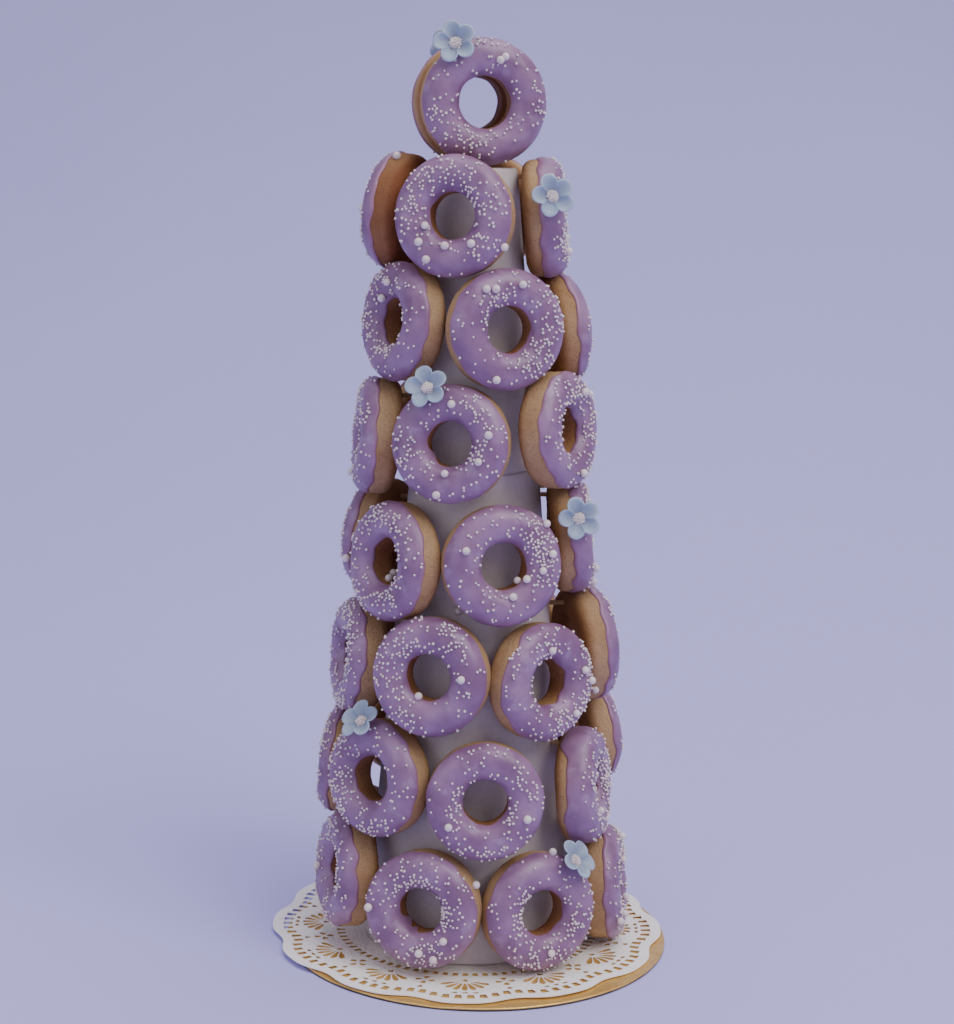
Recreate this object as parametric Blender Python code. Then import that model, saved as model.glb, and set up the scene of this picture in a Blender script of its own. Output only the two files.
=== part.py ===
"""Mini donut topiary: iced mini donuts pinned in rings on a foam cone, on a lace-covered gold card.

Metres, +Z up. The origin is where the cone's axis meets the table, and the front faces -Y.
Azimuths are in degrees round the cone: 0 is the front and positive goes to the right.
"""
import math
import random

import bmesh
import bpy
from mathutils import Matrix, Vector

# Gold cake card
CARD_RADIUS = 0.1016
CARD_THICKNESS = 0.0018
CARD_BEVEL = 0.0004
CARD_CENTRE = (0.0042, -0.0054)
CARD_SEGMENTS = 44

# Paper lace doily, a little off the card's centre and larger than it
LACE_RADIUS = 0.1050
LACE_THICKNESS = 0.0005
LACE_SCALLOPS = 12
LACE_SCALLOP_DEPTH = 0.0050
LACE_POINTS_PER_SCALLOP = 4
LACE_OVERHANG_LEFT = 0.1058
LACE_OVERHANG_BACK = 0.1070
SLOTS_PER_SCALLOP = 3
SLOT_RADIUS = 0.0905
SLOT_LENGTH = 0.0050
SLOT_SPREAD = math.radians(14)
SLOT_HALF_ANGLE = math.radians(1.4)

# Foam cone, cut flat at the top, which stands a little to the left of its foot
GAP = 0.0003
CONE_FOOT = CARD_THICKNESS + LACE_THICKNESS + 2 * GAP
CONE_TOP = 0.4085
CONE_FOOT_RADIUS = 0.0560
CONE_TAPER = 0.0900
CONE_LEAN = -0.0025
CONE_EDGE = 0.0015
CONE_SEGMENTS = 24
SEAM_HEIGHT = 0.2555
SEAM_DEPTH = 0.0012

# Mini donut: the ring's outer radius, and the half width and half thickness of its body
DONUT_RADIUS = 0.0306
BODY_HALF_WIDTH = 0.0098
BODY_HALF_THICKNESS = 0.0105
BODY_SQUARENESS = 2.25
BODY_ANGLES = (0, 46, 90, 134, 180, 234, 306)
DONUT_SEGMENTS = 14
SIZE_VARIATION = 0.012
SEED = 7

# Rings from the top one down: height of the centres, then each donut's azimuth, turn to the
# right in degrees, lift in millimetres and gap to the cone in millimetres.
RINGS = (
    (0.3830, ((-18, 3, 1.6, 4.0), (83, 4, 0.9, 1.1), (173, 0, 2.0, 5.1), (262, -14, 2.5, 8.1))),
    (0.3300, ((19.8, 4, -0.2, 4.1), (106, 8, -4.5, 3.4), (214.8, 0, 1.3, 4.6), (298.5, 3, 1.1, 4.7))),
    (0.2735, ((-14.2, 1, -0.7, 3.4), (58.7, 4, 4.7, 7.1), (133.4, -3, -4.7, 5.1),
              (205.9, 0, -2.2, 4.5), (278.6, -1, -2.3, 8.2))),
    (0.2125, ((16.1, 0, 0, 3.0), (82.9, 9, 8.6, 2.7), (176, 3, 2.3, 4.5), (247.5, 0, 2.2, 6.6),
              (310.8, -3, -2.1, 4.2))),
    (0.1575, ((-20.2, 2, -1.6, 4.5), (39, 1, -5.8, 2.8), (92.7, 15, 4.2, 7.0), (156, 0, -1.1, 4.5),
              (221.2, 2, 1.3, 3.8), (277.6, 8, -2.5, 6.5))),
    (0.0970, ((7.2, -5, -2.9, 4.7), (66, 11, -4.9, 5.4), (115.5, 0, 9.9, 10.5), (162.9, 0, -8.7, 10.5),
              (211.4, 0, 3.2, 10.5), (261.1, 0, -3.5, 8.7), (312.3, 6, 1.8, 4.8))),
    (0.0385, ((-19.2, 0, -1.9, 3.5), (31.8, -5, -4.0, 3.6), (80, 3, -4.0, 8.5), (133, 2, 0, 4.5),
              (187.6, 0, -3.4, 4.3), (238.8, 0, -0.4, 4.5), (291.1, -2, 4.2, 5.3))),
)

# Cocktail picks that hold the donuts off the cone
PICK_RADIUS = 0.0012
PICK_SIDES = 4

# The upright pair that stands back to back on the cone's cut top
CROWN_HEIGHT = 0.4408
CROWN_AZIMUTH = 12
CROWN_RADIUS = 0.0320
CROWN_SHIFT = -0.0035

# Sugar pearls
PEARL_RADIUS = 0.0020
PEARL_STANDS_OUT = 0.0009
GOLDEN_TURN = 137.5
LOWEST_CLOCK = -90
FIRST_SWING = 75
SECOND_STEP = 70
SECOND_SWING = 25

# Sugar blossoms: donut, clock angle on its face, angle round its body, lean to the front
BLOSSOM_RADIUS = 0.0118
BLOSSOM_PETALS = 5
BLOSSOM_POINTS_PER_PETAL = 4
BLOSSOM_NOTCH = 0.62
BLOSSOM_UPPER_RIM = 0.94
BLOSSOM_CUP = 0.0040
BLOSSOM_THICKNESS = 0.0011
BLOSSOM_WAIST = 0.0034
BLOSSOM_BUD = 0.0026
BLOSSOM_CLEARANCE = 0.0019
BLOSSOMS = (
    ("donut_crown_front", 120, 38, 0.55),
    ("donut_1_2", 160, 22, 0.35),
    ("donut_3_1", 112, 46, 0.45),
    ("donut_4_2", 156, 14, 0.35),
    ("donut_6_7", 100, 50, 0.15),
    ("donut_7_2", 56, 42, 0.10),
    ("donut_crown_back", 70, 55, 0.0),
    ("donut_2_3", 60, 60, 0.0),
    ("donut_4_3", 62, 60, 0.0),
    ("donut_5_5", 118, 60, 0.0),
    ("donut_7_5", 75, 60, 0.0),
)

COLOURS = {
    "gold_card": ((0.62, 0.40, 0.13), 0.30, 1.0),
    "lace_paper": ((0.84, 0.82, 0.80), 0.80, 0.0),
    "foam": ((0.70, 0.67, 0.64), 0.85, 0.0),
    "lilac_icing": ((0.34, 0.23, 0.40), 0.30, 0.0),
    "sugar_blossom": ((0.45, 0.56, 0.75), 0.55, 0.0),
}


def clear_scene():
    """Remove every object of the opened scene."""
    for old in list(bpy.data.objects):
        bpy.data.objects.remove(old, do_unlink=True)


def make_material(name):
    """Return the plain material of that name, made once."""
    material = bpy.data.materials.get(name)
    if material is None:
        colour, roughness, metallic = COLOURS[name]
        material = bpy.data.materials.new(name)
        material.use_nodes = True
        shader = material.node_tree.nodes["Principled BSDF"]
        shader.inputs["Base Color"].default_value = (*colour, 1)
        shader.inputs["Roughness"].default_value = roughness
        shader.inputs["Metallic"].default_value = metallic
    return material


def make_object(name, bm, material, smooth_degrees=40):
    """Turn a bmesh into a named object with smooth shading below the given angle."""
    bmesh.ops.recalc_face_normals(bm, faces=bm.faces)
    mesh = bpy.data.meshes.new(name)
    bm.to_mesh(mesh)
    bm.free()
    mesh.materials.append(make_material(material))
    mesh.shade_smooth()
    mesh.set_sharp_from_angle(angle=math.radians(smooth_degrees))
    thing = bpy.data.objects.new(name, mesh)
    bpy.context.scene.collection.objects.link(thing)
    return thing


def bridge_rings(bm, rings, closed):
    """Join each ring of vertices to the next with faces, and the last to the first if closed."""
    count = len(rings)
    for index in range(count if closed else count - 1):
        near = rings[index]
        far = rings[(index + 1) % count]
        for step in range(len(near)):
            after = (step + 1) % len(near)
            bm.faces.new((near[step], near[after], far[after], far[step]))


def turned_solid(bm, outline, segments):
    """Spin an outline of (radius, height) pairs round the Z axis and close both ends."""
    rings = []
    for radius, height in outline:
        ring = []
        for step in range(segments):
            angle = 2 * math.pi * step / segments
            ring.append(bm.verts.new((radius * math.cos(angle), radius * math.sin(angle), height)))
        rings.append(ring)
    bridge_rings(bm, rings, closed=False)
    bm.faces.new(list(reversed(rings[0])))
    bm.faces.new(rings[-1])


def build_card():
    """The thin round cake card, with its two edges slightly rounded."""
    bm = bmesh.new()
    inner = CARD_RADIUS - CARD_BEVEL
    outline = (
        (inner, 0),
        (CARD_RADIUS, CARD_BEVEL),
        (CARD_RADIUS, CARD_THICKNESS - CARD_BEVEL),
        (inner, CARD_THICKNESS),
    )
    turned_solid(bm, outline, CARD_SEGMENTS)
    card = make_object("cake_card", bm, "gold_card")
    card.location = (*CARD_CENTRE, 0)


def lace_outline():
    """Points of the doily's scalloped edge, each scallop a shallow rounded lobe."""
    points = []
    steps = LACE_SCALLOPS * LACE_POINTS_PER_SCALLOP
    for step in range(steps):
        angle = 2 * math.pi * step / steps
        lobe = abs(math.cos(angle * LACE_SCALLOPS / 2))
        radius = LACE_RADIUS - LACE_SCALLOP_DEPTH * (1 - lobe) ** 2
        points.append((radius * math.cos(angle), radius * math.sin(angle)))
    return points


def lace_slots():
    """Four-cornered slots in a band that follows the scallops."""
    slots = []
    for scallop in range(LACE_SCALLOPS):
        middle = 2 * math.pi * scallop / LACE_SCALLOPS
        for index in range(SLOTS_PER_SCALLOP):
            side = index - (SLOTS_PER_SCALLOP - 1) / 2
            angle = middle + side * SLOT_SPREAD / (SLOTS_PER_SCALLOP - 1)
            inner = SLOT_RADIUS - abs(side) * LACE_SCALLOP_DEPTH / 2
            outer = inner + SLOT_LENGTH
            corners = ((inner, -1), (outer, -1), (outer, 1), (inner, 1))
            slot = []
            for radius, hand in corners:
                turn = angle + hand * SLOT_HALF_ANGLE
                slot.append((radius * math.cos(turn), radius * math.sin(turn)))
            slots.append(slot)
    return slots


def add_loop(bm, points):
    """Add a closed loop of edges through flat points and return the edges."""
    verts = [bm.verts.new((x, y, 0)) for x, y in points]
    return [bm.edges.new((verts[i], verts[(i + 1) % len(verts)])) for i in range(len(verts))]


def build_lace():
    """The pierced paper doily, a flat sheet on the card."""
    bm = bmesh.new()
    edges = add_loop(bm, lace_outline())
    for slot in lace_slots():
        edges.extend(add_loop(bm, slot))
    bmesh.ops.triangle_fill(bm, edges=edges, use_beauty=True, normal=(0, 0, 1))
    raised = bmesh.ops.extrude_face_region(bm, geom=list(bm.faces), use_keep_orig=True)
    top = [item for item in raised["geom"] if isinstance(item, bmesh.types.BMVert)]
    bmesh.ops.translate(bm, verts=top, vec=(0, 0, LACE_THICKNESS))
    lace = make_object("lace_doily", bm, "lace_paper", smooth_degrees=20)
    lace.location = (
        LACE_RADIUS - LACE_OVERHANG_LEFT,
        LACE_OVERHANG_BACK - LACE_RADIUS,
        CARD_THICKNESS + GAP,
    )


def cone_radius(height):
    """Radius of the foam cone at a height above the table."""
    return CONE_FOOT_RADIUS - CONE_TAPER * (height - CONE_FOOT)


def lean_at(height):
    """How far to the right the cone's middle is at a height above the table."""
    return CONE_LEAN * height / CONE_TOP


def build_cone():
    """The foam cone: rounded edges, a cut top and the shallow seam round its middle."""
    bm = bmesh.new()
    seam_half = SEAM_DEPTH / 2
    outline = (
        (cone_radius(CONE_FOOT) - CONE_EDGE, CONE_FOOT),
        (cone_radius(CONE_FOOT), CONE_FOOT + CONE_EDGE),
        (cone_radius(SEAM_HEIGHT - seam_half), SEAM_HEIGHT - seam_half),
        (cone_radius(SEAM_HEIGHT) - SEAM_DEPTH, SEAM_HEIGHT),
        (cone_radius(SEAM_HEIGHT + seam_half), SEAM_HEIGHT + seam_half),
        (cone_radius(CONE_TOP) + CONE_EDGE / 4, CONE_TOP - CONE_EDGE),
        (cone_radius(CONE_TOP) - CONE_EDGE, CONE_TOP),
    )
    turned_solid(bm, outline, CONE_SEGMENTS)
    for vert in bm.verts:
        vert.co.x += lean_at(vert.co.z)
    make_object("foam_cone", bm, "foam", smooth_degrees=30)


def body_point(radius, angle):
    """Distance from the donut's axis, and along it, of the body's skin at a section angle."""
    power = 2 / BODY_SQUARENESS
    across = math.copysign(abs(math.cos(angle)) ** power, math.cos(angle))
    along = math.copysign(abs(math.sin(angle)) ** power, math.sin(angle))
    return radius - BODY_HALF_WIDTH + BODY_HALF_WIDTH * across, BODY_HALF_THICKNESS * along


def donut_frame(centre, azimuth, rise):
    """Matrix whose X runs across the donut's face, Y up it and Z out of it."""
    outward = Vector((
        math.sin(azimuth) * math.cos(rise),
        -math.cos(azimuth) * math.cos(rise),
        math.sin(rise),
    ))
    across = Vector((math.cos(azimuth), math.sin(azimuth), 0))
    upward = outward.cross(across)
    return Matrix.Translation(centre) @ Matrix((across, upward, outward)).transposed().to_4x4()


def skin_place(frame, radius, clock, section):
    """Point on a donut's skin and the skin's outward direction there."""
    distance, along = body_point(radius, section)
    spoke = Vector((math.cos(clock), math.sin(clock), 0))
    point = spoke * distance + Vector((0, 0, along))
    normal = spoke * math.cos(section) + Vector((0, 0, math.sin(section)))
    return frame @ point, (frame.to_3x3() @ normal).normalized()


def pearl_angles(number):
    """Clock angles of a donut's fused pearls: one or two on the lower half of its face."""
    first = LOWEST_CLOCK + FIRST_SWING * math.sin(math.radians(GOLDEN_TURN * number))
    second = first + SECOND_STEP + SECOND_SWING * math.cos(number)
    step = 360 / DONUT_SEGMENTS
    chosen = (first, second) if number % 4 == 0 else (first,)
    return [math.radians(step * round(clock / step)) for clock in chosen]


def add_pearls(heap, frame, radius, number):
    """Put a donut's pearls into the heap, sunk a little into its skin."""
    for clock in pearl_angles(number):
        point, normal = skin_place(frame, radius, clock, math.pi / 2)
        bm = bmesh.new()
        bmesh.ops.create_icosphere(bm, subdivisions=1, radius=PEARL_RADIUS)
        bmesh.ops.translate(bm, verts=bm.verts, vec=point + normal * PEARL_STANDS_OUT)
        add_to_heap(heap, make_object("pearl", bm, "lilac_icing"))


def add_pick(heap, frame, radius):
    """Put a donut's pick into the heap: from the middle of its upper body to the cone's skin."""
    start = frame @ Vector((0, radius - BODY_HALF_WIDTH, 0))
    middle = Vector((lean_at(start.z), 0, start.z))
    end = middle + (start - middle).normalized() * (cone_radius(start.z) + GAP)
    bm = bmesh.new()
    bmesh.ops.create_cone(
        bm,
        cap_ends=True,
        segments=PICK_SIDES,
        radius1=PICK_RADIUS,
        radius2=PICK_RADIUS,
        depth=(start - end).length,
    )
    turn = (start - end).to_track_quat("Z", "Y").to_matrix().to_4x4()
    bm.transform(Matrix.Translation((start + end) / 2) @ turn)
    add_to_heap(heap, make_object("pick", bm, "lilac_icing"))


def add_to_heap(heap, thing):
    """Move an object from the scene's own collection into the heap."""
    bpy.context.scene.collection.objects.unlink(thing)
    heap.objects.link(thing)


def fuse_heap(donut, heap):
    """Join everything in the heap to the donut with one Boolean union, and clear the heap."""
    union = donut.modifiers.new("union", "BOOLEAN")
    union.operation = "UNION"
    union.operand_type = "COLLECTION"
    union.collection = heap
    union.solver = "EXACT"
    evaluated = donut.evaluated_get(bpy.context.evaluated_depsgraph_get())
    joined = bpy.data.meshes.new_from_object(evaluated)
    donut.modifiers.clear()
    donut.data = joined
    for thing in list(heap.objects):
        bpy.data.objects.remove(thing, do_unlink=True)
    bpy.data.collections.remove(heap)


def build_donut(name, frame, radius, number):
    """One iced mini donut at its place, with its pearls and its pick fused on."""
    bm = bmesh.new()
    rings = []
    for step in range(DONUT_SEGMENTS):
        clock = 2 * math.pi * step / DONUT_SEGMENTS
        ring = []
        for degrees in BODY_ANGLES:
            distance, along = body_point(radius, math.radians(degrees))
            place = Vector((distance * math.cos(clock), distance * math.sin(clock), along))
            ring.append(bm.verts.new(frame @ place))
        rings.append(ring)
    bridge_rings(bm, rings, closed=True)
    donut = make_object(name, bm, "lilac_icing")
    heap = bpy.data.collections.new("additions")
    bpy.context.scene.collection.children.link(heap)
    add_pearls(heap, frame, radius, number)
    if "crown" not in name:
        add_pick(heap, frame, radius)
    fuse_heap(donut, heap)


def donut_places():
    """Name, matrix and outer radius of every donut, from the upright pair down."""
    places = []
    spread = random.Random(SEED)
    turn = math.radians(CROWN_AZIMUTH)
    for name, azimuth in (("donut_crown_front", turn), ("donut_crown_back", turn + math.pi)):
        reach = BODY_HALF_THICKNESS + GAP
        centre = Vector((
            CROWN_SHIFT + math.sin(azimuth) * reach,
            -math.cos(azimuth) * reach,
            CROWN_HEIGHT,
        ))
        places.append((name, donut_frame(centre, azimuth, 0), CROWN_RADIUS))
    rise = math.atan(CONE_TAPER)
    for row, (height, seats) in enumerate(RINGS, 1):
        for column, (azimuth, turn, lift, gap) in enumerate(seats, 1):
            where = math.radians(azimuth)
            level = height + lift / 1000
            reach = cone_radius(level) + (BODY_HALF_THICKNESS + GAP) / math.cos(rise) + gap / 1000
            centre = Vector((
                lean_at(level) + math.sin(where) * reach,
                -math.cos(where) * reach,
                level,
            ))
            frame = donut_frame(centre, where + math.radians(turn), rise)
            radius = DONUT_RADIUS * (1 + SIZE_VARIATION * spread.uniform(-1, 1))
            places.append((f"donut_{row}_{column}", frame, radius))
    return places


def build_blossom(name, point, normal):
    """A cupped five-petal sugar blossom with a domed centre, its back towards the icing."""
    bm = bmesh.new()
    steps = BLOSSOM_PETALS * BLOSSOM_POINTS_PER_PETAL
    rings = [[], [], [], []]
    for step in range(steps):
        angle = 2 * math.pi * step / steps
        lobe = abs(math.sin(angle * BLOSSOM_PETALS / 2))
        rim = BLOSSOM_RADIUS * (BLOSSOM_NOTCH + (1 - BLOSSOM_NOTCH) * lobe)
        shape = (
            (BLOSSOM_WAIST, 0),
            (rim, BLOSSOM_CUP),
            (rim * BLOSSOM_UPPER_RIM, BLOSSOM_CUP + BLOSSOM_THICKNESS),
            (BLOSSOM_WAIST, BLOSSOM_THICKNESS),
        )
        for ring, (distance, height) in zip(rings, shape):
            ring.append(bm.verts.new((distance * math.cos(angle), distance * math.sin(angle), height)))
    bridge_rings(bm, rings, closed=False)
    for ring, height in ((rings[0], 0), (rings[-1], BLOSSOM_THICKNESS + BLOSSOM_BUD)):
        hub = bm.verts.new((0, 0, height))
        for step in range(steps):
            bm.faces.new((hub, ring[step], ring[(step + 1) % steps]))
    bmesh.ops.triangulate(bm, faces=bm.faces)
    blossom = make_object(name, bm, "sugar_blossom")
    blossom.matrix_world = Matrix.Translation(point) @ normal.to_track_quat("Z", "Y").to_matrix().to_4x4()


def build_blossoms(places):
    """Set the blossoms on their donuts, some of them leaning to the front."""
    lookup = {name: (frame, radius) for name, frame, radius in places}
    for number, (host, clock, section, lean) in enumerate(BLOSSOMS, 1):
        frame, radius = lookup[host]
        point, normal = skin_place(frame, radius, math.radians(clock), math.radians(section))
        facing = normal.lerp(Vector((0, -1, 0)), lean).normalized()
        build_blossom(f"blossom_{number}", point + normal * BLOSSOM_CLEARANCE, facing)


def build_topiary():
    """Build the whole piece from the card up."""
    clear_scene()
    build_card()
    build_lace()
    build_cone()
    places = donut_places()
    for number, (name, frame, radius) in enumerate(places):
        build_donut(name, frame, radius, number)
    build_blossoms(places)


build_topiary()
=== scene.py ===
"""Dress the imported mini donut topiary: icing, crumb, sugar, paper lace, foil, light and camera.

Metres, +Z up, the front faces -Y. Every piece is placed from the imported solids.
"""
import logging
import math
import random
from dataclasses import dataclass, field
from enum import Enum
from typing import Any, Iterable, Mapping, Optional, Sequence, Union

import bmesh
import bpy
import numpy as np
from mathutils import Matrix, Vector
from mathutils.bvhtree import BVHTree


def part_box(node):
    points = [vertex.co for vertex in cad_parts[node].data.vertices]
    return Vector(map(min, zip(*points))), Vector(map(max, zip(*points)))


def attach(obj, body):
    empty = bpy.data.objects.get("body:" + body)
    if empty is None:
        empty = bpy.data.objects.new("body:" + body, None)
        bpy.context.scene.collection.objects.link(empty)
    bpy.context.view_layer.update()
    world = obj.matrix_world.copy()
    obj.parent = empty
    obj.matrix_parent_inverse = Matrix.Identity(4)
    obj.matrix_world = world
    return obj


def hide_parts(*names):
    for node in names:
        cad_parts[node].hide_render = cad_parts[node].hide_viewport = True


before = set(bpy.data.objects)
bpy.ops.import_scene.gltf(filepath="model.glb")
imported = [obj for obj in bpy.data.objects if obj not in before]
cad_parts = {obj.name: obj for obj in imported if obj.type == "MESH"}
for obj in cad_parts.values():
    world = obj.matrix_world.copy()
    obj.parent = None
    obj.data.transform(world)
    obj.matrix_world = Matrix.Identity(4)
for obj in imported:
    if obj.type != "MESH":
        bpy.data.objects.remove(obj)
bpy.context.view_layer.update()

BODY = "root"
TAU = 2 * math.pi
GOLDEN_TURN = 2.39996
LOG = logging.getLogger("topiary")

Number = Union[int, float]
Colour = tuple[float, float, float]


# ---------------------------------------------------------------- shader graph


class Wire:
    """A node socket that takes part in arithmetic."""

    def __init__(self, graph: "Graph", socket: bpy.types.NodeSocket) -> None:
        """Keep the socket and the graph that it lives in."""
        self.graph = graph
        self.socket = socket

    def __add__(self, other: "Operand") -> "Wire":
        """Return self + other."""
        return self.graph.maths("ADD", self, other)

    def __sub__(self, other: "Operand") -> "Wire":
        """Return self - other."""
        return self.graph.maths("SUBTRACT", self, other)

    def __rsub__(self, other: "Operand") -> "Wire":
        """Return other - self."""
        return self.graph.maths("SUBTRACT", other, self)

    def __mul__(self, other: "Operand") -> "Wire":
        """Return self * other."""
        return self.graph.maths("MULTIPLY", self, other)

    __radd__ = __add__
    __rmul__ = __mul__

    def clamped(self) -> "Wire":
        """Return self held between 0 and 1."""
        return self.graph.wire("ShaderNodeClamp", inputs={"Value": self})


Operand = Union[Wire, Number]


class Graph:
    """The node tree of one new material."""

    def __init__(self, name: str) -> None:
        """Make the material and find its shader.

        Args:
            name: The material's name.
        """
        self.material = bpy.data.materials.new(name)
        self.material.use_nodes = True
        self.tree = self.material.node_tree
        self.shader = self.tree.nodes["Principled BSDF"]

    def plug(self, socket: bpy.types.NodeSocket, value: Any) -> None:
        """Link a wire to a socket, or set the socket's own value.

        Args:
            socket: The input to fill.
            value: A Wire, a number or a tuple.
        """
        if isinstance(value, Wire):
            self.tree.links.new(value.socket, socket)
        elif isinstance(value, tuple) and len(value) == 3 and socket.type == "RGBA":
            socket.default_value = (*value, 1.0)
        else:
            socket.default_value = value

    def node(
        self,
        kind: str,
        settings: Optional[Mapping[str, Any]] = None,
        inputs: Optional[Mapping[Union[str, int], Any]] = None,
    ) -> bpy.types.Node:
        """Add a node, set it up, then fill its inputs.

        Args:
            kind: Blender's node type.
            settings: Node properties; "stops" fills a colour ramp with (place, colour) pairs.
            inputs: Values or wires by socket name or number.

        Returns:
            The new node.
        """
        made = self.tree.nodes.new(kind)
        for key, value in (settings or {}).items():
            if key == "stops":
                self.fill_ramp(made, value)
            else:
                setattr(made, key, value)
        for key, value in (inputs or {}).items():
            self.plug(made.inputs[key], value)
        return made

    @staticmethod
    def fill_ramp(ramp: bpy.types.Node, stops: Sequence[tuple[float, Colour]]) -> None:
        """Give a colour ramp its stops."""
        elements = ramp.color_ramp.elements
        while len(elements) < len(stops):
            elements.new(0.5)
        for element, (place, colour) in zip(elements, stops):
            element.position = place
            element.color = (*colour, 1.0)

    def wire(
        self,
        kind: str,
        settings: Optional[Mapping[str, Any]] = None,
        inputs: Optional[Mapping[Union[str, int], Any]] = None,
        output: Union[str, int] = 0,
    ) -> Wire:
        """Add a node and return one of its outputs as a wire."""
        return Wire(self, self.node(kind, settings, inputs).outputs[output])

    def maths(self, operation: str, first: Operand, second: Operand) -> Wire:
        """Return the result of a Math node."""
        return self.wire("ShaderNodeMath", {"operation": operation}, {0: first, 1: second})

    def blend(self, factor: Operand, first: Any, second: Any, mode: str = "MIX") -> Wire:
        """Mix two colours.

        Args:
            factor: How much of the second colour shows.
            first: A colour or a wire.
            second: A colour or a wire.
            mode: The Mix node's blend type.

        Returns:
            The mixed colour.
        """
        made = self.node(
            "ShaderNodeMix",
            {"data_type": "RGBA", "blend_type": mode},
            {0: factor, 6: first, 7: second},
        )
        return Wire(self, made.outputs[2])

    def place(self) -> Wire:
        """Return the point's place on the object."""
        return self.wire("ShaderNodeTexCoord", output="Object")

    def noise(self, scale: Number, detail: Number = 3.0, roughness: Number = 0.5) -> Wire:
        """Return a noise value with features about 1 / scale metres wide."""
        return self.wire(
            "ShaderNodeTexNoise",
            inputs={"Vector": self.place(), "Scale": scale, "Detail": detail, "Roughness": roughness},
        )

    def stretch(self, value: Operand, low: Number, high: Number) -> Wire:
        """Return value mapped so that low becomes 0 and high becomes 1, and clamped."""
        return self.wire(
            "ShaderNodeMapRange",
            {"clamp": True},
            {"Value": value, "From Min": low, "From Max": high},
        )

    def attribute(self, name: str) -> Wire:
        """Return a mesh attribute's value."""
        return self.wire("ShaderNodeAttribute", {"attribute_name": name}, output="Fac")

    def bump(self, height: Operand, distance: Number, strength: Number = 1.0) -> Wire:
        """Return a normal bent by a height value.

        Args:
            height: Height from 0 to 1.
            distance: Metres that a height of 1 stands out.
            strength: How much of the bend shows.

        Returns:
            The bent normal.
        """
        return self.wire(
            "ShaderNodeBump",
            inputs={"Height": height, "Distance": distance, "Strength": strength},
            output="Normal",
        )

    def finish(self, **sockets: Any) -> bpy.types.Material:
        """Fill the shader's sockets, named with _ for each space, and return the material."""
        for name, value in sockets.items():
            self.plug(self.shader.inputs[name.replace("_", " ")], value)
        return self.material


# ------------------------------------------------------------------- finishes


@dataclass(frozen=True)
class IcingFinish:
    """Satin dip icing: mauve, with pale drifts that are partly its own tone and partly painted sheen, and
    pinker where it thins.
    """

    deep: Colour = (0.228, 0.108, 0.212)
    pale: Colour = (0.345, 0.190, 0.325)
    thin: Colour = (0.400, 0.180, 0.240)
    milky_tone_and_sheen: Colour = (0.470, 0.340, 0.490)
    roughness: float = 0.38

    def make(self) -> bpy.types.Material:
        """Build the material."""
        graph = Graph("lilac_icing")
        broad = graph.stretch(graph.noise(60.0, 2.0), 0.36, 0.66)
        drift = graph.stretch(graph.noise(95.0, 3.0, 0.6), 0.56, 0.74)
        fine = graph.noise(520.0, 3.0)
        colour = graph.blend(broad, self.deep, self.pale)
        # pale drifts: partly the icing's own tone, partly painted sheen
        colour = graph.blend(drift * 0.5, colour, self.milky_tone_and_sheen)
        edge = graph.attribute("edge")
        colour = graph.blend((edge * 0.55).clamped(), colour, self.thin)
        ripple = graph.noise(170.0, 2.0)
        return graph.finish(
            Base_Color=colour,
            Roughness=(fine * 0.14 + (self.roughness - 0.07)).clamped(),
            Normal=graph.bump(ripple * 0.8 + fine * 0.2, 0.0007, 0.5),
            Subsurface_Weight=0.12,
            Subsurface_Radius=(0.0012, 0.0008, 0.0010),
            Subsurface_Scale=1.0,
            Specular_IOR_Level=0.62,
        )


@dataclass(frozen=True)
class CakeFinish:
    """Baked crumb: pale sides, a browner base, a hole browner with its bake and with painted shade, and
    fine pores darkened with painted shade.
    """

    pale: Colour = (0.500, 0.325, 0.165)
    golden: Colour = (0.345, 0.180, 0.075)
    brown: Colour = (0.215, 0.070, 0.026)
    speck: Colour = (0.220, 0.115, 0.045)
    pore_shade: Colour = (0.200, 0.100, 0.040)

    def make(self) -> bpy.types.Material:
        """Build the material."""
        graph = Graph("baked_crumb")
        patches = graph.noise(85.0, 3.0, 0.6)
        # the bake value also carries painted shade inside the holes
        bake = (graph.attribute("bake") + (patches - 0.5) * 0.55).clamped()
        crust = graph.wire(
            "ShaderNodeValToRGB",
            {"stops": ((0.05, self.pale), (0.5, self.golden), (1.0, self.brown))},
            {"Fac": bake},
        )
        grain = graph.noise(900.0, 4.0, 0.65)
        pores = graph.wire(
            "ShaderNodeTexVoronoi",
            {"feature": "SMOOTH_F1"},
            {"Vector": graph.place(), "Scale": 620.0, "Smoothness": 0.6},
        )
        pits = graph.stretch(pores, 0.0, 0.34)
        speckled = graph.blend(graph.stretch(grain, 0.35, 0.75) * 0.35, crust, self.speck)
        # painted shade: the pores' centres are darkened toward the pore colour
        colour = graph.blend((1 - pits) * 0.30, speckled, self.pore_shade)
        return graph.finish(
            Base_Color=colour,
            Roughness=0.78,
            Normal=graph.bump(pits * 0.6 + grain * 0.4, 0.0007, 0.7),
            Subsurface_Weight=0.06,
            Subsurface_Radius=(0.0015, 0.0009, 0.0005),
            Subsurface_Scale=1.0,
            Specular_IOR_Level=0.25,
        )


@dataclass(frozen=True)
class SugarFinish:
    """Polished sugar: off-white pearls and nonpareils."""

    name: str
    colour: Colour = (0.90, 0.81, 0.76)
    shade: Colour = (0.76, 0.66, 0.65)
    roughness: float = 0.30

    def make(self) -> bpy.types.Material:
        """Build the material."""
        graph = Graph(self.name)
        tone = graph.stretch(graph.noise(230.0, 1.0), 0.35, 0.65)
        skin = graph.noise(2600.0, 2.0)
        return graph.finish(
            Base_Color=graph.blend(tone, self.colour, self.shade),
            Roughness=(skin * 0.2 + (self.roughness - 0.1)).clamped(),
            Normal=graph.bump(skin, 0.00012, 0.5),
            Subsurface_Weight=0.15,
            Subsurface_Radius=(0.001, 0.0009, 0.0008),
            Subsurface_Scale=1.0,
        )


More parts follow.
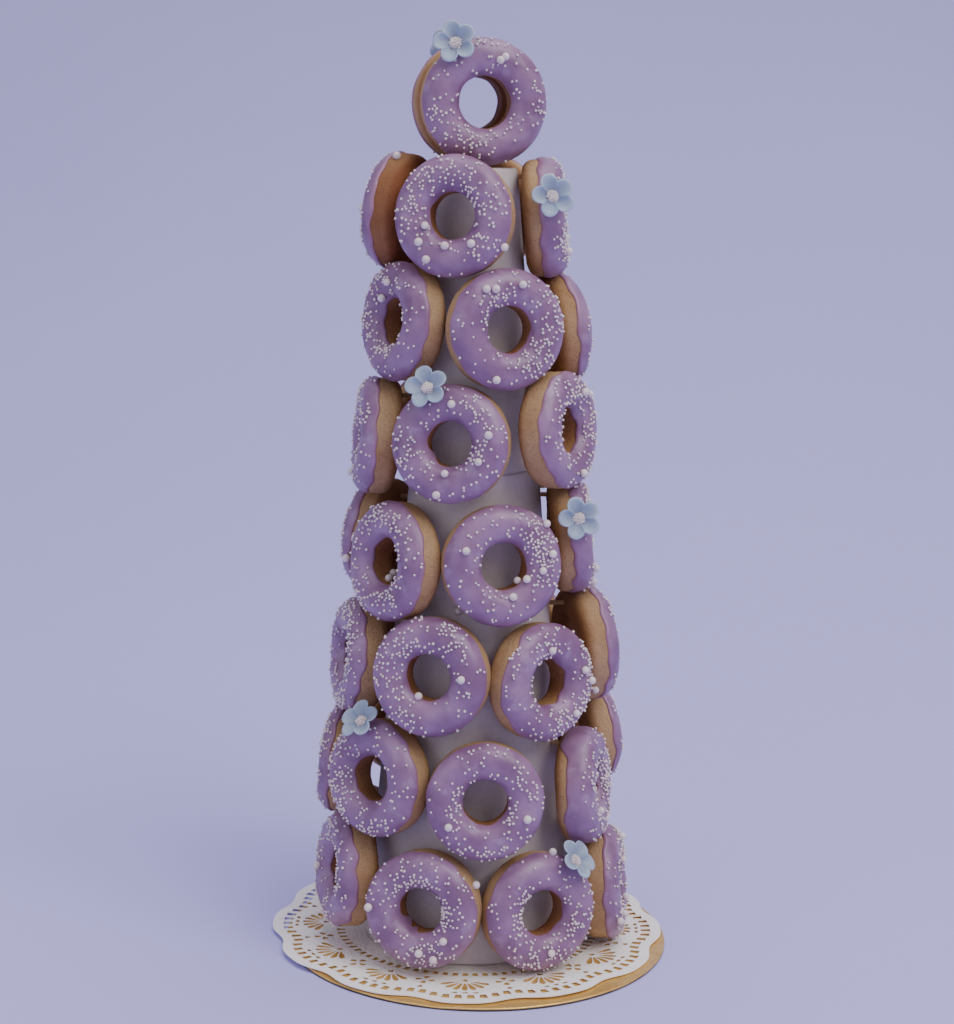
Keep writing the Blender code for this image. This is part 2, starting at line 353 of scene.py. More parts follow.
@dataclass(frozen=True)
class BlossomFinish:
    """Pressed sugar paste, with painted shade that makes it deeper blue in the cup and leaves the petals'
    edges palest.
    """

    cup: Colour = (0.235, 0.250, 0.370)
    petal: Colour = (0.315, 0.395, 0.495)
    edge: Colour = (0.410, 0.510, 0.590)

    def make(self) -> bpy.types.Material:
        """Build the material."""
        graph = Graph("blue_sugar_paste")
        reach = graph.attribute("reach")
        # painted shade: the colour darkens from the petals' edges into the cup
        body = graph.wire(
            "ShaderNodeValToRGB",
            {"stops": ((0.15, self.cup), (0.55, self.petal), (1.0, self.edge))},
            {"Fac": reach},
        )
        grain = graph.noise(1400.0, 3.0)
        veins = graph.noise(420.0, 2.0)
        return graph.finish(
            Base_Color=graph.blend(graph.stretch(veins, 0.3, 0.8) * 0.25, body, self.cup),
            Roughness=(grain * 0.15 + 0.42).clamped(),
            Normal=graph.bump(grain * 0.5 + veins * 0.5, 0.0003, 0.4),
            Subsurface_Weight=0.25,
            Subsurface_Radius=(0.0014, 0.0018, 0.0022),
            Subsurface_Scale=1.0,
        )


@dataclass(frozen=True)
class PaperFinish:
    """Embossed white paper."""

    paper: Colour = (0.985, 0.950, 0.915)
    shade: Colour = (0.940, 0.880, 0.840)

    def make(self) -> bpy.types.Material:
        """Build the material."""
        graph = Graph("lace_paper")
        fibre = graph.noise(1500.0, 4.0, 0.7)
        blotch = graph.noise(90.0, 2.0)
        emboss = graph.wire(
            "ShaderNodeTexVoronoi",
            {"feature": "F1"},
            {"Vector": graph.place(), "Scale": 420.0},
        )
        height = graph.stretch(emboss, 0.1, 0.5) * graph.attribute("emboss") + fibre * 0.25
        return graph.finish(
            Base_Color=graph.blend(graph.stretch(blotch, 0.35, 0.7) * 0.6, self.paper, self.shade),
            Roughness=0.82,
            Normal=graph.bump(height, 0.0004, 0.6),
            Specular_IOR_Level=0.2,
        )


@dataclass(frozen=True)
class FoilFinish:
    """Thin gold foil on card, dulled and dented."""

    gold: Colour = (0.900, 0.590, 0.170)
    dull: Colour = (0.560, 0.320, 0.080)
    cut: Colour = (0.055, 0.035, 0.020)

    def make(self) -> bpy.types.Material:
        """Build the material."""
        graph = Graph("gold_foil")
        wear = graph.stretch(graph.noise(130.0, 4.0, 0.65), 0.45, 0.72)
        dents = graph.noise(75.0, 2.0)
        scratch = graph.noise(700.0, 3.0)
        rim = graph.attribute("rim")
        colour = graph.blend(wear * 0.7, self.gold, self.dull)
        colour = graph.blend(rim, colour, self.cut)
        return graph.finish(
            Base_Color=colour,
            Metallic=((1 - rim * 0.8) * 0.62).clamped(),
            Roughness=(wear * 0.25 + scratch * 0.15 + 0.22).clamped(),
            Normal=graph.bump(dents * 0.8 + scratch * 0.2, 0.0009, 0.6),
        )


@dataclass(frozen=True)
class FoamFinish:
    """White foam with its pressed beads just showing."""

    foam: Colour = (0.680, 0.600, 0.590)
    seam: Colour = (0.500, 0.430, 0.430)

    def make(self) -> bpy.types.Material:
        """Build the material."""
        graph = Graph("white_foam")
        beads = graph.wire(
            "ShaderNodeTexVoronoi",
            {"feature": "SMOOTH_F1"},
            {"Vector": graph.place(), "Scale": 330.0, "Smoothness": 0.3},
        )
        blotch = graph.noise(45.0, 3.0)
        colour = graph.blend(graph.stretch(blotch, 0.35, 0.7) * 0.16, self.foam, self.seam)
        return graph.finish(
            Base_Color=graph.blend(graph.stretch(beads, 0.35, 0.6) * 0.14, colour, self.seam),
            Roughness=0.85,
            Normal=graph.bump(1 - beads, 0.0003, 0.35),
            Specular_IOR_Level=0.25,
        )


@dataclass(frozen=True)
class BirchFinish:
    """Plain birch wood with a fine upright grain."""

    wood: Colour = (0.640, 0.450, 0.260)
    grain: Colour = (0.440, 0.280, 0.140)

    def make(self) -> bpy.types.Material:
        """Build the material."""
        graph = Graph("plain_birch")
        streaks = graph.noise(1100.0, 3.0, 0.6)
        return graph.finish(
            Base_Color=graph.blend(graph.stretch(streaks, 0.35, 0.7), self.wood, self.grain),
            Roughness=0.7,
            Normal=graph.bump(streaks, 0.0002, 0.4),
        )


@dataclass(frozen=True)
class PaintFinish:
    """Matt paint for the table and the backdrop, with painted shade that makes it darker and greyer higher
    up.
    """

    name: str
    colour: Colour
    high: Colour
    shade: Colour = (0.95, 0.95, 0.96)
    fade: float = 2.2

    def make(self) -> bpy.types.Material:
        """Build the material."""
        graph = Graph(self.name)
        cloud = graph.noise(3.0, 2.0)
        height = graph.wire("ShaderNodeSeparateXYZ", inputs={"Vector": graph.place()}, output="Z")
        # painted shade: the colour shifts from the table's toward the darker, greyer wall's with height
        paint = graph.blend(graph.stretch(height, 0.0, self.fade), self.colour, self.high)
        darker = graph.blend(1.0, paint, self.shade, "MULTIPLY")
        return graph.finish(
            Base_Color=graph.blend(cloud, paint, darker), Roughness=0.9, Specular_IOR_Level=0.15
        )


# --------------------------------------------------------------- mesh helpers


def grid_faces(rows: int, columns: int, wrap_rows: bool, wrap_columns: bool) -> list[tuple[int, ...]]:
    """Return the quads of a grid of points stored row by row.

    Args:
        rows: Number of rows.
        columns: Points in each row.
        wrap_rows: Whether the last row joins the first.
        wrap_columns: Whether each row closes on itself.

    Returns:
        Four point numbers for each quad.
    """
    row = np.arange(rows if wrap_rows else rows - 1)[:, None]
    column = np.arange(columns if wrap_columns else columns - 1)[None, :]
    below = (row + 1) % rows
    beside = (column + 1) % columns
    corners = (
        row * columns + column,
        row * columns + beside,
        below * columns + beside,
        below * columns + column,
    )
    return np.stack(np.broadcast_arrays(*corners), axis=-1).reshape(-1, 4).tolist()


def make_piece(
    name: str,
    points: np.ndarray,
    faces: Iterable[Sequence[int]],
    material: bpy.types.Material,
    attributes: Optional[Mapping[str, np.ndarray]] = None,
    smooth: bool = True,
) -> bpy.types.Object:
    """Make a mesh object with its faces pointing out.

    Args:
        name: The piece's name.
        points: Points as an (N, 3) array.
        faces: Point numbers of each face.
        material: Its finish.
        attributes: Values for each point, by attribute name.
        smooth: Whether it is shaded smooth.

    Returns:
        The new object, linked to the scene.
    """
    mesh = bpy.data.meshes.new(name)
    mesh.from_pydata(points.tolist(), [], faces)
    for key, values in (attributes or {}).items():
        layer = mesh.attributes.new(key, "FLOAT", "POINT")
        layer.data.foreach_set("value", np.asarray(values, np.float32))
    bm = bmesh.new()
    bm.from_mesh(mesh)
    bmesh.ops.recalc_face_normals(bm, faces=bm.faces)
    bm.to_mesh(mesh)
    bm.free()
    if smooth:
        mesh.shade_smooth()
    mesh.materials.append(material)
    piece = bpy.data.objects.new(name, mesh)
    bpy.context.scene.collection.objects.link(piece)
    return piece


def adopt(piece: bpy.types.Object, slot: str, *nodes: str) -> bpy.types.Object:
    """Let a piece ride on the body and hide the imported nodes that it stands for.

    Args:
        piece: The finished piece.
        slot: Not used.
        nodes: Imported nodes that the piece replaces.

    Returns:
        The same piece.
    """
    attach(piece, BODY)
    if nodes:
        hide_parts(*nodes)
    LOG.info("%s: %d faces", piece.name, len(piece.data.polygons))
    return piece


@dataclass(frozen=True)
class Ripple:
    """Smooth unevenness round a ring: a few seeded waves."""

    amount: float
    waves: tuple[int, ...]
    seed: int

    def at(self, angles: np.ndarray) -> np.ndarray:
        """Return the height of the ripple at some angles."""
        draw = random.Random(self.seed)
        total = np.zeros_like(angles)
        for wave in self.waves:
            strength = draw.uniform(0.5, 1.0)
            total = total + strength * np.sin(wave * angles + draw.uniform(0, TAU))
        return total * self.amount / math.sqrt(len(self.waves))


@dataclass(frozen=True)
class Seat:
    """Where a solid sits: its centre, the way it faces and its reach from its own axis."""

    centre: Vector
    across: Vector
    upward: Vector
    outward: Vector
    reach: float

    @classmethod
    def of_node(cls, name: str) -> "Seat":
        """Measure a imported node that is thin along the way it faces.

        Args:
            name: The node's name.

        Returns:
            Its seat, facing away from the cone's axis.
        """
        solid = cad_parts[name].data
        solid.calc_loop_triangles()
        points = np.array([vertex.co for vertex in solid.vertices])
        corners = points[np.array([triangle.vertices for triangle in solid.loop_triangles])]
        volumes = np.einsum("ij,ij->i", corners[:, 0], np.cross(corners[:, 1], corners[:, 2])) / 6
        middles = corners.sum(axis=1) / 4
        centre = (volumes[:, None] * middles).sum(axis=0) / volumes.sum()
        arms = corners - centre
        sums = arms.sum(axis=1)
        spread = np.einsum("i,ij,ik->jk", volumes, sums, sums)
        spread = spread + np.einsum("i,inj,ink->jk", volumes, arms, arms)
        outward = Vector(np.linalg.eigh(spread)[1][:, 0])
        if outward.dot(Vector((centre[0], centre[1], 0))) < 0:
            outward.negate()
        across = Vector((-outward.y, outward.x, 0)).normalized()
        offsets = points - centre
        along = offsets @ np.array(outward)
        radial = np.linalg.norm(offsets - along[:, None] * np.array(outward), axis=1)
        return cls(Vector(centre), across, outward.cross(across), outward, float(radial.max()))

    def world(self, local: np.ndarray) -> np.ndarray:
        """Turn (across, upward, outward) points into world points."""
        axes = np.array([self.across, self.upward, self.outward])
        return np.array(self.centre) + local @ axes


# ------------------------------------------------------------------ the donuts


class Bake(Enum):
    """How dark a donut's crumb is baked, as a shift of its bake value."""

    PALE = 0.0
    GOLDEN = 0.18
    DARK = 0.62


@dataclass(frozen=True)
class Run:
    """A place where the icing's edge runs further: all in degrees."""

    clock: float
    width: float
    reach: float

    def at(self, clocks: np.ndarray) -> np.ndarray:
        """Return how much further the edge runs at some clock angles, in radians."""
        off = (np.degrees(clocks) - self.clock + 180) % 360 - 180
        return math.radians(self.reach) * np.exp(-((off / self.width) ** 2))


@dataclass(frozen=True)
class Habit:
    """How one donut came out: its bake, and where its icing starts and runs."""

    bake: Bake = Bake.PALE
    start: Optional[float] = None
    ragged: float = 1.0
    outside: tuple[Run, ...] = ()
    inside: tuple[Run, ...] = ()


HABITS: Mapping[str, Habit] = {
    "donut_crown_front": Habit(start=16),
    "donut_1_1": Habit(start=12, inside=(Run(300, 30, 8),)),
    "donut_1_2": Habit(start=-6),
    "donut_1_4": Habit(Bake.DARK),
    "donut_2_2": Habit(Bake.GOLDEN, start=3),
    "donut_3_1": Habit(start=16, inside=(Run(215, 16, 34),)),
    "donut_3_2": Habit(start=19),
    "donut_4_2": Habit(start=-2, outside=(Run(95, 30, -8),)),
    "donut_5_2": Habit(start=15, ragged=1.5, outside=(Run(140, 16, -14), Run(200, 18, 8))),
    "donut_5_3": Habit(start=7),
    "donut_5_6": Habit(ragged=1.4),
    "donut_6_2": Habit(start=-15, ragged=1.7, outside=(Run(118, 16, 16), Run(215, 14, 12))),
    "donut_7_1": Habit(start=15, inside=(Run(222, 15, 46), Run(252, 8, 26))),
    "donut_7_7": Habit(ragged=1.8),
}


@dataclass
class Donut:
    """One iced ring donut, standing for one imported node."""

    name: str
    number: int
    habit: Habit = Habit()
    half_width: float = 0.0098
    half_thickness: float = 0.0105
    front_power: float = 2 / 2.25
    back_power: float = 2 / 2.9
    icing_thickness: float = 0.0008
    usual_start: float = 11.0
    start_spread: float = 5.0
    icing_end: float = math.radians(161)
    clock_steps: int = 120
    seat: Seat = field(init=False)

    def __post_init__(self) -> None:
        """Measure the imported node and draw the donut's own unevenness."""
        self.seat = Seat.of_node(self.name)
        self.oval = Ripple(0.012, (2, 3), self.number)
        self.lumps = Ripple(0.00022, (3, 5, 7), self.number + 100)
        ragged = self.habit.ragged
        self.outer_edge = Ripple(math.radians(5.0) * ragged, (2, 3, 5, 9, 14), self.number + 200)
        self.inner_edge = Ripple(math.radians(4.5) * ragged, (2, 3, 5, 8), self.number + 300)
        drift = random.Random(self.number).uniform(-1, 1) * self.start_spread
        start = self.habit.start if self.habit.start is not None else self.usual_start + drift
        self.icing_start = math.radians(start)

    def skin(self, clock: np.ndarray, section: np.ndarray, inset: np.ndarray) -> np.ndarray:
        """Return points on or under the donut's skin.

        Args:
            clock: Angles round the ring, from its right side.
            section: Angles round the body: 0 outside, a quarter turn at the front.
            inset: Depth under the skin.

        Returns:
            World points with the shape of the inputs and a last axis of 3.
        """
        sine = np.sin(section)
        power = np.where(sine >= 0, self.front_power, self.back_power)
        middle = (self.seat.reach - self.half_width) * (1 + self.oval.at(clock) * 0.8)
        wide = self.half_width - inset
        thick = self.half_thickness - inset + self.lumps.at(clock)
        distance = middle + wide * np.sign(np.cos(section)) * np.abs(np.cos(section)) ** power
        along = thick * np.sign(sine) * np.abs(sine) ** power
        local = np.stack([distance * np.cos(clock), distance * np.sin(clock), along], axis=-1)
        return self.seat.world(local)

    def build_cake(self, material: bpy.types.Material) -> bpy.types.Object:
        """Make the baked ring.

        Args:
            material: The crumb finish.

        Returns:
            The cake piece.
        """
        steps = 48
        clock = np.linspace(0, TAU, self.clock_steps, endpoint=False)[:, None]
        section = np.linspace(0, TAU, steps, endpoint=False)[None, :]
        clock, section = np.broadcast_arrays(clock, section)
        pits = Ripple(0.00010, (11, 17, 23, 31), self.number + 400).at(clock * 1.0 + 3 * section)
        covered = np.clip((np.sin(section) + 0.5) / 0.4, 0, 1)
        inset = self.icing_thickness * (0.35 + 0.65 * covered) + pits
        points = self.skin(clock, section, inset).reshape(-1, 3)
        behind = np.clip((-np.sin(section) - 0.30) / 0.60, 0, 1)
        hole_bake_and_shade = np.clip((-np.cos(section) - 0.35) / 0.5, 0, 1)
        uneven = Ripple(0.16, (1, 2, 4), self.number + 500).at(clock)
        # in the hole the crust darkens partly with its real bake and partly with painted shade
        bake = 0.10 + 0.50 * behind + 0.62 * hole_bake_and_shade + uneven + self.habit.bake.value
        faces = grid_faces(self.clock_steps, steps, True, True)
        piece = make_piece(f"{self.name}_cake", points, faces, material, {"bake": bake.reshape(-1)})
        return adopt(piece, "cake", self.name)

    def build_icing(self, material: bpy.types.Material) -> bpy.types.Object:
        """Make the dipped icing cap with its rounded, wandering edges.

        Args:
            material: The icing finish.

        Returns:
            The icing piece.
        """
        outer_steps = 40
        under_steps = 6
        clock_line = np.linspace(0, TAU, self.clock_steps, endpoint=False)
        start = self.icing_start + self.outer_edge.at(clock_line)
        start = (start - sum(run.at(clock_line) for run in self.habit.outside))[:, None]
        end = self.icing_end + self.inner_edge.at(clock_line)
        end = (end + sum(run.at(clock_line) for run in self.habit.inside))[:, None]
        even = np.linspace(0, 1, outer_steps)[None, :]
        share = 0.5 - 0.5 * np.cos(math.pi * even) * (0.55 + 0.45 * np.cos(math.pi * even) ** 2)
        section = start + (end - start) * share
        clock = np.broadcast_to(clock_line[:, None], section.shape)
        from_edge = np.minimum(section - start, end - section) * self.half_width
        rise = np.clip(from_edge / 0.0011, 0, 1)
        height = self.icing_thickness * np.sqrt(1 - (1 - rise) ** 2)
        bead = 0.00014 * np.exp(-(((from_edge - 0.0014) / 0.0007) ** 2))
        swell = Ripple(0.00010, (3, 5, 8, 13), self.number + 600).at(clock + 0.7 * section)
        inset = self.icing_thickness - height - bead - swell * rise
        inset = np.where(from_edge <= 1e-9, self.icing_thickness + 0.0003, inset)
        under = np.linspace(1, 0, under_steps)[None, :]
        under_section = start + (end - start) * (0.04 + 0.92 * under)
        under_inset = np.full(under_section.shape, self.icing_thickness + 0.0006)
        section = np.concatenate([section, under_section], axis=1)
        inset = np.concatenate([inset, under_inset], axis=1)
        clock = np.broadcast_to(clock_line[:, None], section.shape)
        points = self.skin(clock, section, inset).reshape(-1, 3)
        thin = np.clip(1 - from_edge / 0.0022, 0, 1)
        thin = np.concatenate([thin, np.ones(under_section.shape)], axis=1).reshape(-1)
        faces = grid_faces(self.clock_steps, outer_steps + under_steps, True, True)
        piece = make_piece(f"{self.name}_icing", points, faces, material, {"edge": thin})
        return adopt(piece, "icing", self.name)

    def perch(self, clock: float, section: float) -> tuple[Vector, Vector]:
        """Return a point on the icing and the way that the icing faces there.

        Args:
            clock: Angle round the ring.
            section: Angle round the body.

        Returns:
            The point and its normal.
        """
        step = 0.01
        spots = self.skin(
            np.array([clock, clock + step, clock]),
            np.array([section, section, section + step]),
            np.zeros(3),
        )
        along_ring = Vector(spots[1] - spots[0])
        along_body = Vector(spots[2] - spots[0])
        return Vector(spots[0]), along_ring.cross(along_body).normalized()


# ------------------------------------------------------------------ the camera


@dataclass
class Portrait:
    """The camera: a long lens a metre away, looking down a little at the piece."""

    width: int = 954
    height: int = 1024
    focal_pixels: float = 2067.0
    sensor: float = 36.0
    place: tuple[float, float, float] = (0.0038, -1.0649, 0.419)
    down: float = math.radians(10.03)
    left: float = math.radians(0.2)
    tilt: float = math.radians(1.2)

    def axes(self) -> tuple[Vector, Vector, Vector]:
        """Return the picture's right and up directions and the way the camera looks."""
        look = Vector((
            -math.sin(self.left) * math.cos(self.down),
            math.cos(self.left) * math.cos(self.down),
            -math.sin(self.down),
        ))
        right = Vector((math.cos(self.left), math.sin(self.left), 0))
        upward = right.cross(look)
        turned_right = right * math.cos(self.tilt) + upward * math.sin(self.tilt)
        turned_up = upward * math.cos(self.tilt) - right * math.sin(self.tilt)
        return turned_right, turned_up, look

    def ray(self, pixel: tuple[float, float]) -> Vector:
        """Return the direction in which the camera sees a pixel."""
        right, upward, look = self.axes()
        sideways = (pixel[0] - self.width / 2) / self.focal_pixels
        rise = (self.height / 2 - pixel[1]) / self.focal_pixels
        return (look + right * sideways + upward * rise).normalized()

    def build(self) -> None:
        """Add the camera and make it the scene's."""
        right, upward, look = self.axes()
        data = bpy.data.cameras.new("portrait_camera")
        data.sensor_fit = "AUTO"
        data.sensor_width = self.sensor
        data.lens = self.focal_pixels * self.sensor / max(self.width, self.height)
        data.clip_start = 0.05
        camera = bpy.data.objects.new("portrait_camera", data)
        turn = Matrix((right, upward, -look)).transposed().to_4x4()
        camera.matrix_world = Matrix.Translation(self.place) @ turn
        bpy.context.scene.collection.objects.link(camera)
        bpy.context.scene.camera = camera


# ------------------------------------------------------------------- the sugar


@dataclass(frozen=True)
class Bead:
    """A small ball, copied many times into one mesh."""

    splits: int

    def unit(self) -> tuple[np.ndarray, list[tuple[int, ...]]]:
        """Return the points and faces of a ball of radius 1."""
        bm = bmesh.new()
        bmesh.ops.create_icosphere(bm, subdivisions=self.splits, radius=1.0)
        bm.verts.index_update()
        points = np.array([tuple(vert.co) for vert in bm.verts])
        faces = [tuple(vert.index for vert in face.verts) for face in bm.faces]
        bm.free()
        return points, faces

    def scatter(
        self,
        name: str,
        centres: Sequence[Vector],
        radii: Sequence[float],
        material: bpy.types.Material,
    ) -> bpy.types.Object:
        """Join a sphere at each centre into one piece.

        Args:
            name: The piece's name.
            centres: Where the spheres go.
            radii: How large each is.
            material: Their finish.

        Returns:
            The joined piece.
        """
        shape, faces = self.unit()
        spots = np.array([tuple(centre) for centre in centres])
        sizes = np.array(radii)
        points = spots[:, None, :] + sizes[:, None, None] * shape[None, :, :]
        count = len(shape)
        all_faces = [
            tuple(corner + index * count for corner in face)
            for index in range(len(spots))
            for face in faces
        ]
        return make_piece(name, points.reshape(-1, 3), all_faces, material)


@dataclass
class Sprinkles:
    """White sugar pearls and nonpareils stuck in the icing."""

    donuts: Sequence[Donut]
    camera: Portrait
    pearl_radius: float = 0.00205
    pearl_stands_out: float = 0.0012
    grain_radius: float = 0.00073
    grains_each: int = 185
    clear_space: float = 0.00118
    seed: int = 21

    # Pixels of the pearls that the camera sees, from the top of the piece down.
    pearl_pixels: tuple[tuple[float, float], ...] = (
        (500, 60), (505, 57), (397, 158),
        (424, 226), (419, 242), (445, 247), (472, 244), (503, 246), (427, 259),
        (389, 282), (383, 297), (486, 289.5), (495, 289), (522, 285), (496, 379),
        (583, 392), (588, 394), (582, 473),
        (452, 404), (489, 435.5), (479, 462), (445, 475), (437, 494),
        (347, 557), (392, 574), (388, 580),
        (466, 551), (545, 525), (552, 554), (543, 570.5), (528, 580), (519, 582), (513, 598), (458, 611),
        (462, 680), (418, 698),
        (551, 650), (584, 670), (590, 680.5), (595, 688), (575, 713),
        (599, 812), (448.5, 827), (527, 819), (620, 837), (319, 865),
        (474, 886), (370, 907), (444, 941), (419.5, 953), (433.5, 959), (416, 968.5),
        (552, 854), (550.5, 953),
    )

    # Clock angles in degrees where the nonpareils lie thickest on some donuts.
    thick_patches: Mapping[str, tuple[int, ...]] = field(default_factory=lambda: {
        "donut_crown_front": (235, 255, 10, 195, 75),
        "donut_1_1": (325, 180, 130, 75, 20),
        "donut_2_1": (330, 120, 300, 20),
        "donut_3_1": (30, 60, 200, 340),
        "donut_3_2": (60, 100, 0, 300),
        "donut_4_1": (10, 350, 30, 45),
        "donut_4_5": (300, 60, 100, 230),
        "donut_5_1": (130, 180, 240, 60),
        "donut_5_2": (330, 290, 20, 100),
        "donut_6_1": (190, 265, 90, 330, 30),
        "donut_6_2": (20, 350, 300),
        "donut_6_7": (230, 200, 290, 150),
        "donut_7_1": (285, 0, 350, 100),
        "donut_7_2": (150, 200, 330, 260),
        "donut_7_7": (90, 180, 270, 0, 220),
    })

    def seen_pearls(self, surfaces: Sequence[bpy.types.Object]) -> list[tuple[Vector, Vector]]:
        """Find where the rays of the pearls' pixels meet the piece.

        Args:
            surfaces: The meshes that can hold a pearl.

        Returns:
            A point and a normal for each pearl that lands.
        """
        trees = [BVHTree.FromObject(piece, bpy.context.evaluated_depsgraph_get()) for piece in surfaces]
        eye = Vector(self.camera.place)
        found = []
        for pixel in self.pearl_pixels:
            direction = self.camera.ray(pixel)
            hits = [tree.ray_cast(eye, direction) for tree in trees]
            landed = [hit for hit in hits if hit[0] is not None]
            if landed:
                point, normal, _, _ = min(landed, key=lambda hit: hit[3])
                outward = normal if normal.dot(direction) < 0 else -normal
                found.append((point, outward))
        return found

    def hidden_pearls(self, draw: random.Random) -> list[tuple[Vector, Vector]]:
        """Choose one to four pearls for each donut on the far side."""
        found = []
        eye = Vector(self.camera.place)
        for donut in self.donuts:
            if donut.seat.outward.dot((eye - donut.seat.centre).normalized()) > 0.12:
                continue
            for _ in range(draw.randint(1, 4)):
                clock = math.radians(draw.gauss(-80, 60))
                found.append(donut.perch(clock, math.radians(draw.uniform(55, 130))))
        return found

    def grains(self, donut: Donut, taken: list[Vector], draw: random.Random) -> list[tuple[Vector, float]]:
        """Strew one donut with nonpareils, thickest in a few patches.

        Args:
            donut: The donut to strew.
            taken: Centres of the pearls near it.
            draw: The source of chance.

        Returns:
            A centre and a radius for each grain.
        """
        patches = self.thick_patches.get(donut.name)
        if patches is None:
            patches = tuple(draw.randint(0, 359) for _ in range(3))
        depths = [draw.uniform(58, 122) for _ in patches]
        placed: list[Vector] = []
        found = []
        wanted = int(self.grains_each * draw.uniform(0.82, 1.18))
        tries = 0
        while len(placed) < wanted and tries < wanted * 5:
            tries += 1
            if draw.random() < 0.50:
                pick = draw.randrange(len(patches))
                clock = draw.gauss(patches[pick], 15)
                section = draw.gauss(depths[pick], 16)
            else:
                clock = draw.uniform(0, 360)
                section = 84 + 58 * draw.uniform(-1, 1) + draw.gauss(0, 4)
            if not math.degrees(donut.icing_start) + 12 < section < 142:
                continue
            radius = self.grain_radius * draw.uniform(0.82, 1.18)
            point, normal = donut.perch(math.radians(clock), math.radians(section))
            centre = point + normal * radius * 0.55
            near = any((centre - other).length < self.clear_space for other in placed)
            near = near or any((centre - other).length < self.pearl_radius + radius for other in taken)
            if near:
                continue
            placed.append(centre)
            found.append((centre, radius))
        return found

    def build(self, surfaces: Sequence[bpy.types.Object]) -> None:
        """Make the pearls as one piece and the nonpareils as another.

        Args:
            surfaces: The meshes that can hold a pearl.
        """
        draw = random.Random(self.seed)
        spots = self.seen_pearls(surfaces) + self.hidden_pearls(draw)
        lift = self.pearl_stands_out
        centres = [point + normal * lift for point, normal in spots]
        sizes = [self.pearl_radius * draw.uniform(0.92, 1.05) for _ in centres]
        pearls = Bead(3).scatter(
            "sugar_pearls", centres, sizes, SugarFinish("sugar_pearl", roughness=0.26).make()
        )
        adopt(pearls, "sugar")
        grains: list[tuple[Vector, float]] = []
        for donut in self.donuts:
            close = [centre for centre in centres if (centre - donut.seat.centre).length < 0.04]
            grains.extend(self.grains(donut, close, draw))
        nonpareils = Bead(1).scatter(
            "nonpareils",
            [centre for centre, _ in grains],
            [radius for _, radius in grains],
            SugarFinish("nonpareil_sugar", roughness=0.4).make(),
        )
        adopt(nonpareils, "sugar")


# ---------------------------------------------------------------- the blossoms


